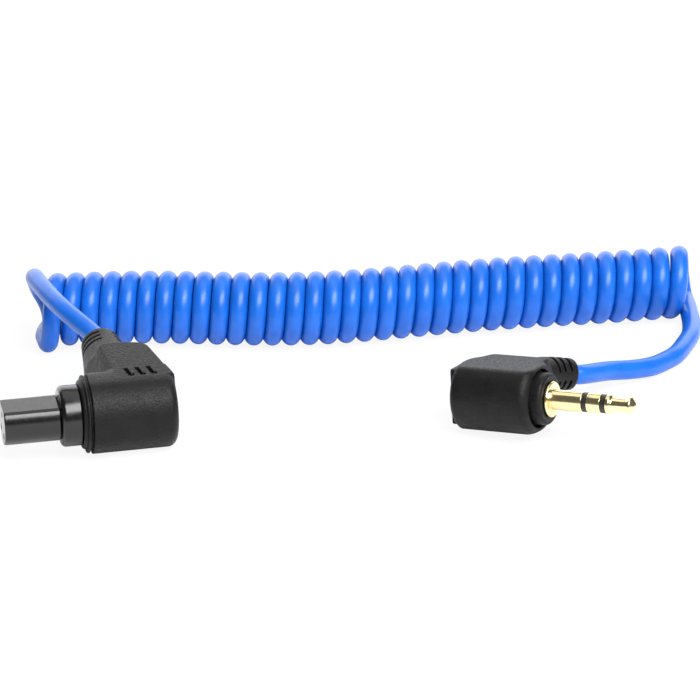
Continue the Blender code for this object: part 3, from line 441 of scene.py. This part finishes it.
def round_arm(a, b, c, start, length, bend, way):
    """Places round an arm's line: the distance along it from the arm's end, the distance from it,
    and the angle round it, from c towards a. The line's arc is a part of a circle in the plane of
    b and of the way that it bends."""
    bend, way = math.radians(bend), math.radians(way)
    reach = length / bend
    out = (a - start[0]) * math.cos(way) + (c - start[2]) * math.sin(way)
    beside = (c - start[2]) * math.cos(way) - (a - start[0]) * math.sin(way)
    ahead = b - start[1]
    angle = np.arctan2(ahead, reach - out)
    bent = (ahead > 0) & (angle < bend)
    past = (angle >= bend) & (ahead > 0)
    cosine, sine = math.cos(bend), math.sin(bend)
    end_out, end_ahead = reach * (1 - cosine), reach * sine
    beyond = (out - end_out) * sine + (ahead - end_ahead) * cosine
    off_beyond = (out - end_out) * cosine - (ahead - end_ahead) * sine
    along = np.where(bent, angle * reach, np.where(past, length + beyond, ahead))
    off = np.where(bent, reach - np.hypot(reach - out, ahead), np.where(past, off_beyond, out))
    sideways = off * math.cos(way) - beside * math.sin(way)
    upward = off * math.sin(way) + beside * math.cos(way)
    return along, np.hypot(off, beside), np.degrees(np.arctan2(sideways, upward))


def relief(along, away, radii, length, lip):
    """The strain relief: a bar that tapers from its root to its mouth, with the mouth's edge
    rounded to the lip's radius. It starts 5.5 inside the arm."""
    root, mouth = radii
    radius = root + (mouth - root) * np.clip(along / length, 0, 1)
    return cut_by(away - radius, (along - length, lip), (-5.5 - along, 0.1))


def relief_slots(along, away, angle, radii, length, spans):
    """Three slots across the relief, counted back from its mouth, each open over each span of
    angles."""
    root, mouth = radii
    slots = np.full(along.shape, 9.0)
    for i in range(3):
        middle = length - FIRST_SLOT - SLOT_PITCH * i
        bottom = root + (mouth - root) * middle / length - SLOT_DEPTH
        slot = np.maximum(within(along, middle, SLOT_HALF_WIDTH), bottom - away)
        for start, end in spans:
            half = (end - start) / 2
            turn = (angle - (start + half) + 180) % 360 - 180
            beyond = np.radians(np.abs(turn) - half) * away
            slots = np.minimum(slots, both(slot, beyond, 0.12))
    return slots


def camera_overmould(a, b, c):
    """The barrel is a cylinder with a rounded back, and rings at its front. The arm is cut by
    planes, and its relief is added. The flats then cut all three, and the slots, the grip marks
    and the hollow inside are taken out."""
    away, height = np.hypot(b, c), np.abs(c)
    shape = cut_by(away - CAMERA_RADIUS, (a - CAMERA_BACK, 1.1), (-a, 0.12))
    for radius, middle, half, rounding in CAMERA_RINGS:
        shape = np.minimum(shape, both(away - radius, within(a, middle, half), rounding))

    # The arm's front slopes from a foot up to the edge of the flat, more upright along the arm.
    # Its back, where the mould needs draft, turns a corner towards the end.
    foot_a, foot_c, edge_a = (
        np.interp(b, (2.5, 8.9), ends) for ends in ((1.6, 1.8), (2.5, 1.8), (3.45, 2.95))
    )
    corner = (8.7, 9.0)
    draft = 0.08 * (CAMERA_TOP - height)
    front = 1.2 + 0.03 * b - a
    slope = across(a, height, (foot_a, foot_c), (edge_a, CAMERA_TOP))
    back = across(a, b, corner, (9.95, 2.5)) - draft
    turn_in = across(a, b, (6.4, 9.95), corner) - draft
    end = -across(b, height, (11.2, 0.0), (9.95, 4.6))
    root = -0.5 - b
    arm = cut_by(front, (slope, 0.5), (back, 0.6), (turn_in, 0.8), (end, 0.8), (root, 0.3))
    shape = either(shape, arm, 0.35)

    length = CAMERA_ARM[1]
    along, off, angle = round_arm(a, b, c, *CAMERA_ARM)
    shape = either(shape, relief(along, off, CAMERA_RELIEF, length, 0.75), 0.3)
    flat = CAMERA_TOP - CAMERA_STEP_DOWN * np.clip((b - 2.35) / 0.15, 0, 1)
    shape = both(shape, height - flat, 0.25)
    slots = relief_slots(along, off, angle, CAMERA_RELIEF, length, CAMERA_SLOTS)
    shape = without(shape, slots)

    # Each grip mark is a leaning stroke with a foot, pressed into the upper flat.
    for left in GRIP_MARKS:
        leaning = a - left - 0.3 + 0.15 * (b - 1.0)
        stroke = both(within(leaning, 0, 0.24), within(b, 1.05, 1.0), 0.12)
        foot = both(within(a - left, 0.6, 0.36), within(b, 0.22, 0.24), 0.12)
        mark = np.maximum(np.minimum(stroke, foot), MARK_FLOOR - c)
        shape = without(shape, mark, 0.05)

    # The hollow is for the inner mould and the nose's shank.
    bore = np.maximum(off - BORE_RADIUS, -4.9 - along)
    hollow = np.minimum(
        np.maximum(away - 3.6, within(a, 4.575, 4.275)),
        np.maximum(away - 2.6, a - 4.0),
    )
    return without(shape, np.minimum(bore, hollow))


def slopes(shape, points, reach=0.03):
    """The direction in which a shape's distance grows fastest, at each point."""
    made = np.empty_like(points)
    for axis in range(3):
        shift = np.zeros(3)
        shift[axis] = reach
        made[:, axis] = shape(*(points + shift).T) - shape(*(points - shift).T)
    return made / np.maximum(np.linalg.norm(made, axis=1), 1e-9)[:, None]


def surface_net(shape, low, high, step):
    """The points and four-sided faces of the surface where a shape's distance is zero. Each cell
    of a grid that the surface crosses gets a point, the mean of the crossings on its edges, which
    then moves onto the surface. Each grid edge that it crosses gets a face from the cells round
    it. It also returns the directions square to the surface."""
    lines = [np.arange(start, end + step, step) for start, end in zip(low, high)]
    field = shape(*np.meshgrid(*lines, indexing="ij"))
    size = np.array(field.shape)
    cells, places, faces = [], [], []
    for axis in range(3):
        step_on, one, two = [np.roll(np.eye(3, dtype=int)[axis], turn) for turn in range(3)]
        near = field[tuple(slice(0, n - s) for n, s in zip(size, step_on))]
        far = field[tuple(slice(s, n) for n, s in zip(size, step_on))]
        index = np.argwhere((near < 0) != (far < 0))
        from_value, to_value = near[tuple(index.T)], far[tuple(index.T)]
        crossing = index + step_on * (from_value / (from_value - to_value))[:, None]
        around = [
            np.ravel_multi_index((index + shift).T, size)
            for shift in (0 * one, -one, -one - two, -two)
        ]
        cells += around
        places += [crossing] * len(around)
        corners = np.array(around).T
        corners[from_value > 0] = corners[from_value > 0][:, ::-1]
        faces.append(corners)
    used, which = np.unique(np.concatenate(cells), return_inverse=True)
    places = np.concatenate(places)
    count = np.bincount(which)
    points = np.column_stack([np.bincount(which, axis_values) for axis_values in places.T])
    points = points / count[:, None] * step + np.array(low)
    faces = np.searchsorted(used, np.concatenate(faces))
    for _ in range(2):
        normals = slopes(shape, points)
        points = points - normals * np.clip(shape(*points.T), -step / 2, step / 2)[:, None]
    return points, faces, slopes(shape, points)


def add_mesh(name, place, points, faces, finish, normals=None):
    """A piece from points in a plug's axes, put where the plug lies."""
    turn = np.array(place.to_3x3())
    moved = points @ turn.T + np.array(place.translation)
    mesh = bpy.data.meshes.new(name)
    mesh.from_pydata(moved.tolist(), [], faces)
    mesh.materials.append(finish)
    mesh.shade_smooth()
    if normals is not None:
        mesh.normals_split_custom_set_from_vertices((normals @ turn.T / MM).tolist())
    made = bpy.data.objects.new(name, mesh)
    bpy.context.scene.collection.objects.link(made)
    return made


def moulded(name, shape, low, high, step, place, finish):
    """A moulded piece: the surface of a shape inside the box from low to high."""
    points, faces, normals = surface_net(shape, low, high, step)
    return add_mesh(name, place, points, faces.tolist(), finish, normals)


def stand_for(piece, body, slot, *nodes):
    """Ties a piece to its body and hides the nodes that it stands for. The slot is not used."""
    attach(piece, body)
    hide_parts(*nodes)


# Black PVC from a spark-eroded mould: matte, with pits and flecks of a quarter millimetre that
# catch the light, and clouds of 2 mm where the surface cooled unevenly.
pvc = new_finish(
    "moulded_pvc",
    {"Specular IOR Level": 0.18},
    mottle=(0.5, 2.0, "#0e0e0f", "#151516"),
    gloss=(4.2, 3.0, 0.36, 0.58),
    relief=(4.2, 3.0, 0.07),
)
stand_for(
    moulded(
        "camera_overmould",
        camera_overmould,
        low=(-1.5, -5.3, -5.1),
        high=(10.8, 19.1, 5.1),
        step=0.14,
        place=CAMERA_PLUG,
        finish=pvc,
    ),
    "camera_end",
    "black_pvc",
    "camera_plug_overmould",
)


# The camera plug's nose
# Glossy black ABS, D-shaped so that it enters its socket one way up. Three narrow holes in its end
# lead to the contacts, and its shank runs back through the collar into the overmould.

CONTACTS = ((0.0, 0.95), (-1.3, -1.3), (1.3, -1.3))
NOSE_RADIUS, NOSE_FLAT = 2.85, 2.05
HOLE_RADIUS, CONTACT_RADIUS = 0.36, 0.45


def camera_nose(a, b, c):
    """A cylinder cut by a flat, its shank, and the head that the overmould grips. Each contact's
    bore is narrow at the end face."""
    away = np.hypot(b, c)
    body = cut_by(away - NOSE_RADIUS, (c - NOSE_FLAT, 0.22), (within(a, -7.06, 3.39), 0.16))
    shank = np.maximum(away - 2.3, within(a, -1.4, 2.2))
    head = both(away - 3.3, within(a, 0.95, 0.35), 0.08)
    shape = np.minimum(np.minimum(body, shank), head)
    for contact_b, contact_c in CONTACTS:
        off = np.hypot(b - contact_b, c - contact_c)
        hole = np.maximum(off - HOLE_RADIUS, a + 9.9)
        behind = np.maximum(off - CONTACT_RADIUS, -9.95 - a)
        shape = without(shape, np.minimum(hole, behind), 0.07)
    return shape


# Black ABS as it leaves a polished mould: a sharp reflection that waves every 2 mm, with faint
# handling marks half a millimetre wide.
abs_plastic = new_finish(
    "glossy_abs",
    {"Base Color": colour("#0b0b0c"), "Specular IOR Level": 0.5},
    gloss=(1.8, 3.0, 0.2, 0.27),
    relief=(0.45, 2.0, 0.012),
)
stand_for(
    moulded(
        "camera_nose",
        camera_nose,
        low=(-10.7, -3.5, -3.5),
        high=(1.6, 3.5, 3.5),
        step=0.1,
        place=CAMERA_PLUG,
        finish=abs_plastic,
    ),
    "camera_end",
    "black_abs",
    "camera_plug_nose",
)


# The camera plug's collar
# A ring of the same glossy ABS, with a well rounded front edge. It is pressed over the nose's
# shank against the overmould's step.


def rounded(outline, radii, steps=5):
    """A closed outline whose corners are rounded: at each, points on the circle arc that touches
    both of its sides."""
    outline = [np.array(point, float) for point in outline]
    made = []
    for i, (corner, radius) in enumerate(zip(outline, radii)):
        if not radius:
            made.append(corner)
            continue
        back = outline[i - 1] - corner
        on = outline[(i + 1) % len(outline)] - corner
        back, on = back / np.linalg.norm(back), on / np.linalg.norm(on)
        half = math.acos(np.clip(back @ on, -1, 1)) / 2
        middle = (back + on) / np.linalg.norm(back + on)
        centre = corner + middle * radius / math.sin(half)
        start = corner + back * radius / math.tan(half) - centre
        end = corner + on * radius / math.tan(half) - centre
        for share in np.linspace(0, 1, steps + 1):
            arm = start * math.sin((1 - share) * (math.pi / 2 - half) * 2)
            arm = arm + end * math.sin(share * (math.pi / 2 - half) * 2)
            made.append(centre + arm / math.sin(math.pi - 2 * half))
    return made


def turned(name, outline, place, finish, sides=96):
    """A turned piece: its outline of (a, radius) points carried round the a axis. The outline is
    closed, unless it starts and ends on the axis, where a ring is one point."""
    rings, points, index = [], [], 0
    for along, radius in outline:
        angles = np.arange(sides) * 2 * math.pi / sides if radius > 1e-6 else np.zeros(1)
        points.append(
            np.column_stack(
                (np.full(len(angles), along), radius * np.sin(angles), radius * np.cos(angles))
            )
        )
        rings.append(np.resize(np.arange(index, index + len(angles)), sides))
        index += len(angles)
    faces = []
    closed = int(outline[0][1] > 1e-6)
    for ring, following in zip(rings, rings[1:] + rings[:1] * closed):
        corners = (ring, np.roll(ring, -1), np.roll(following, -1), following)
        faces += [tuple(dict.fromkeys(face)) for face in np.column_stack(corners).tolist()]
    points = np.concatenate(points)
    made = add_mesh(name, place, points, faces, finish)
    along = made.data.attributes.new("along", "FLOAT", "POINT")
    along.data.foreach_set("value", points[:, 0])
    made.data.set_sharp_from_angle(angle=math.radians(40))
    return made


COLLAR = ((-3.6, 2.35), (-3.6, 3.72), (-1.15, 3.72), (-1.15, 2.35))
stand_for(
    turned("camera_collar", rounded(COLLAR, (0.1, 0.55, 0.2, 0.1)), CAMERA_PLUG, abs_plastic),
    "camera_end",
    "black_abs",
    "camera_plug_collar",
)


# The jack plug's overmould
# The same PVC and the same kind of mould, smaller. A boss stands out of the barrel's rounded front
# round the pin, and a plain pad stands on its back.

JACK_RADIUS, JACK_FRONT, JACK_BACK = 4.7, -1.7, -12.1
JACK_TOP, JACK_BOTTOM = 3.9, -4.15
BOSS_RADIUS, BOSS_GROOVE = 3.2, 3.37
JACK_RELIEF = (2.7, 1.95)
JACK_SLOTS = ((-60, 75), (105, 160))


def jack_overmould(a, b, c):
    """The barrel is a cylinder with rounded ends, and the pad is added to its back. The arm is cut
    by planes, and its relief is added. The flats then cut all of it, the groove is cut into the
    front and the boss is put in, and the slots and the hollow inside are taken out."""
    away, height = np.hypot(b, c), np.abs(c)
    shape = cut_by(away - JACK_RADIUS, (a - JACK_FRONT, 1.1), (JACK_BACK - a, 0.9))
    pad = cut_by(within(b, 0, 2.7), (within(c, 0, 3.5), 0.35), (within(a, -11.8, 0.8), 0.12))
    shape = np.minimum(shape, pad)

    # The arm narrows from the back, and its end slopes in towards the flats.
    back = -12.0 - a + 0.45 * np.clip(b - 1.0, 0, 9)
    front = a + 2.2 + 0.1 * height
    slope = -across(b, height, (6.0, 1.5), (4.75, 4.2))
    root, end = -0.5 - b, b - 5.8
    arm = cut_by(back, (front, 0.6), (slope, 0.7), (root, 0.3), (end, 0.5))
    shape = either(shape, arm, 0.3)

    length = JACK_ARM[1]
    along, off, angle = round_arm(a, b, c, *JACK_ARM)
    shape = either(shape, relief(along, off, JACK_RELIEF, length, 0.7), 0.35)
    shape = cut_by(shape, (c - JACK_TOP, 0.3), (JACK_BOTTOM - c, 0.25))
    groove = cut_by(within(away, BOSS_GROOVE, 0.22), (-2.55 - a, 0.1), (a - 1, 0.1))
    boss = both(away - BOSS_RADIUS, within(a, -2.45, 2.0), 0.45)
    shape = np.minimum(without(shape, groove, 0.15), boss)
    shape = without(shape, relief_slots(along, off, angle, JACK_RELIEF, length, JACK_SLOTS))

    # The hollow is for the inner mould and the back of the pin.
    bore = np.maximum(off - BORE_RADIUS, -1.0 - along)
    hollow = np.minimum(
        np.maximum(away - 3.3, within(a, -6.675, 3.925)),
        np.maximum(away - 2.15, -3.0 - a),
    )
    return without(shape, np.minimum(bore, hollow))


stand_for(
    moulded(
        "jack_overmould",
        jack_overmould,
        low=(-13.0, -5.1, -4.9),
        high=(1.2, 14.2, 5.1),
        step=0.13,
        place=JACK_PLUG,
        finish=pvc,
    ),
    "jack_end",
    "black_pvc",
    "jack_plug_overmould",
)


# The jack's pin
# Turned brass under a thin gold plate, in three pieces with two black nylon bands between them.
# Each piece runs back inside the next as a tube or rod, to its solder lug.

# Pale gold plate over turned brass: a bright mirror, uneven over 2 mm. Tool marks round it draw
# the highlights out. They are given 22 a millimetre along the pin.
gold = new_finish("gold_plate", {"Metallic": 1.0}, mottle=(0.6, 2.0, "#e9d6a0", "#f2e2b4"))
gold_tree = gold.node_tree
along_pin = add_node(gold_tree, "ShaderNodeAttribute", attribute_name="along")
marks = add_node(
    gold_tree,
    "ShaderNodeTexNoise",
    {"Scale": 22.0, "Detail": 3.0},
    {"W": along_pin.outputs["Fac"]},
    noise_dimensions="1D",
)
marked = add_node(
    gold_tree,
    "ShaderNodeMapRange",
    {"From Min": 0.3, "From Max": 0.7, "To Min": 0.16, "To Max": 0.24},
    {"Value": marks.outputs["Fac"]},
)
gold_tree.links.new(marked.outputs[0], gold_tree.nodes["Principled BSDF"].inputs["Roughness"])

# Turned nylon: black and satin, with an uneven bloom a sixth of a millimetre wide.
nylon = new_finish(
    "black_nylon", {"Base Color": colour("#1a1918")}, gloss=(6.0, 3.0, 0.35, 0.5)
)

# Each piece's node, finish, slot, outline and the rounding of the outline's corners.
PIN = (
    (
        "jack_sleeve",
        gold,
        "gold_plate",
        [(-3.65, 0.94), (-3.65, 1.24), (-2.7, 1.24), (-2.7, 1.85), (-0.4, 1.85), (-0.4, 2.2)]
        + [(0, 2.2), (0, 1.24), (4.0, 1.24), (4.0, 0.94)],
        (0, 0, 0, 0, 0, 0.12, 0.16, 0.08, 0.06, 0),
    ),
    (
        "jack_sleeve_insulator",
        nylon,
        "band_plastic",
        [(-3.85, 0.76), (-3.85, 0.89), (4.05, 0.89), (4.05, 1.19), (4.6, 1.19), (4.6, 0.76)],
        (0, 0, 0, 0, 0, 0),
    ),
    (
        "jack_ring",
        gold,
        "gold_plate",
        [(-4.8, 0.58), (-4.8, 0.71), (4.65, 0.71), (4.65, 1.24), (6.4, 1.24), (6.4, 0.58)],
        (0, 0, 0, 0.06, 0.06, 0),
    ),
    (
        "jack_ring_insulator",
        nylon,
        "band_plastic",
        [(-5.0, 0.4), (-5.0, 0.53), (6.45, 0.53), (6.45, 1.14), (7.0, 1.14), (7.0, 0.4)],
        (0, 0, 0, 0, 0, 0),
    ),
    (
        "jack_tip",
        gold,
        "gold_plate",
        [(-5.95, 0), (-5.95, 0.35), (7.05, 0.35), (7.05, 1.19), (7.5, 1.19), (7.75, 0.9)]
        + [(9.5, 0.86), (9.95, 1.08), (10.15, 1.08), (10.65, 0.34), (10.8, 0)],
        (0, 0, 0, 0.1, 0.15, 0.2, 0.3, 0.12, 0.15, 0.12, 0),
    ),
)
for node, finish, slot, outline, radii in PIN:
    stand_for(
        turned(node + "_turned", rounded(outline, radii), JACK_PLUG, finish),
        "jack_end",
        slot,
        node,
    )


# Inside the plugs
# The polyethylene blocks that were moulded first, the wires with their insulation, the screen's
# bare copper, the socket contacts and the solder lugs. They keep their CAD shapes.

# Milky polyethylene: waxy, and cloudy where it is thick.
milky = new_finish(
    "natural_polyethylene",
    {"Roughness": 0.45, "Subsurface Weight": 0.3, "Subsurface Scale": 0.001},
    mottle=(0.8, 2.0, "#c6c3b8", "#d6d3c9"),
)


def wire_insulation(name, dark, light):
    """Thin extruded PVC on a wire, with a satin sheen and clouds of half a millimetre."""
    return new_finish(name, {"Roughness": 0.4}, mottle=(2.0, 2.0, dark, light))


def bright_metal(name, dark, light, rough):
    """Drawn or stamped metal, duller in patches of 0.7 mm where it was handled or soldered."""
    patches = (1.5, 3.0)
    return new_finish(
        name,
        {"Metallic": 1.0},
        mottle=(*patches, dark, light),
        gloss=(*patches, rough, rough + 0.15),
    )


INNER = {
    milky: ("camera_plug_inner_mould", "jack_plug_inner_mould"),
    wire_insulation("red_insulation", "#a01a18", "#b3231f"): (
        "camera_wire_shutter",
        "jack_wire_tip",
    ),
    wire_insulation("white_insulation", "#d8d7d2", "#e4e3df"): (
        "camera_wire_focus",
        "jack_wire_ring",
    ),
    bright_metal("copper_screen", "#b0683c", "#c9804f", 0.3): (
        "camera_wire_ground",
        "jack_wire_sleeve",
    ),
    bright_metal("tinned_brass", "#b9b5a8", "#cfccc2", 0.3): (
        "jack_sleeve_lug",
        "jack_ring_lug",
        "jack_tip_lug",
    ),
    bright_metal("contact_gold", "#e0bf70", "#edd088", 0.2): (
        "camera_contact_ground",
        "camera_contact_shutter",
        "camera_contact_focus",
    ),
}
for finish, nodes in INNER.items():
    for node in nodes:
        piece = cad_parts[node]
        piece.data.materials.clear()
        piece.data.materials.append(finish)


# The studio
# A white sweep, with a large soft box in front and above, a wide light overhead and a wider one
# behind, which the tops of the coil and of the plugs reflect.

PAPER_DEPTH = 0.00005  # how far the paper lies below the part, in metres
PAPER_GLOW = 0.9
ROOM_LIGHT = 0.12

# White paper. To the camera it glows, so that only the closest shadow shows.
paper = new_finish("white_sweep", {"Roughness": 0.9, "Base Color": colour("#f4f4f4")})
paper_tree = paper.node_tree
glow = add_node(paper_tree, "ShaderNodeEmission", {"Strength": 1.0})
paper_rays = add_node(paper_tree, "ShaderNodeLightPath")
share = add_node(
    paper_tree,
    "ShaderNodeMath",
    {1: PAPER_GLOW},
    {0: paper_rays.outputs["Is Camera Ray"]},
    operation="MULTIPLY",
)
mixed = add_node(
    paper_tree,
    "ShaderNodeMixShader",
    links={
        0: share.outputs[0],
        1: paper_tree.nodes["Principled BSDF"].outputs[0],
        2: glow.outputs[0],
    },
)
paper_tree.links.new(mixed.outputs[0], paper_tree.nodes["Material Output"].inputs["Surface"])

floor_mesh = bpy.data.meshes.new("floor")
floor_mesh.from_pydata([(-3, -3, 0), (3, -3, 0), (3, 3, 0), (-3, 3, 0)], [], [(0, 1, 2, 3)])
floor_mesh.materials.append(paper)
floor = bpy.data.objects.new("floor", floor_mesh)
floor.location.z = -PAPER_DEPTH
bpy.context.scene.collection.objects.link(floor)


def soft_box(name, place, target, size, power):
    """A rectangular light that faces the target."""
    light = bpy.data.lights.new(name, "AREA")
    light.shape = "RECTANGLE"
    light.size, light.size_y = size
    light.energy = power
    made = bpy.data.objects.new(name, light)
    made.location = place
    made.rotation_euler = (Vector(target) - Vector(place)).to_track_quat("-Z", "Y").to_euler()
    bpy.context.scene.collection.objects.link(made)


soft_box("key", (0.17, -0.34, 0.42), target=(0, 0, 0), size=(0.5, 0.32), power=6.2)
soft_box("overhead", (0.05, 0.15, 0.75), target=(0, 0.02, 0), size=(0.9, 0.6), power=2.2)
soft_box("backdrop", (0.0, 0.9, 0.35), target=(0, 0, 0.05), size=(1.8, 0.7), power=9.0)

# To the camera the room is white, and to the part it is dim.
world = bpy.data.worlds.new("studio")
world.use_nodes = True
sky = world.node_tree
background = sky.nodes["Background"]
sky_rays = add_node(sky, "ShaderNodeLightPath")
strength = add_node(
    sky,
    "ShaderNodeMapRange",
    {"To Min": ROOM_LIGHT, "To Max": 1.0},
    {"Value": sky_rays.outputs["Is Camera Ray"]},
)
background.inputs["Color"].default_value = (1, 1, 1, 1)
sky.links.new(strength.outputs[0], background.inputs["Strength"])
bpy.context.scene.world = world
bpy.context.scene.view_settings.view_transform = "Standard"
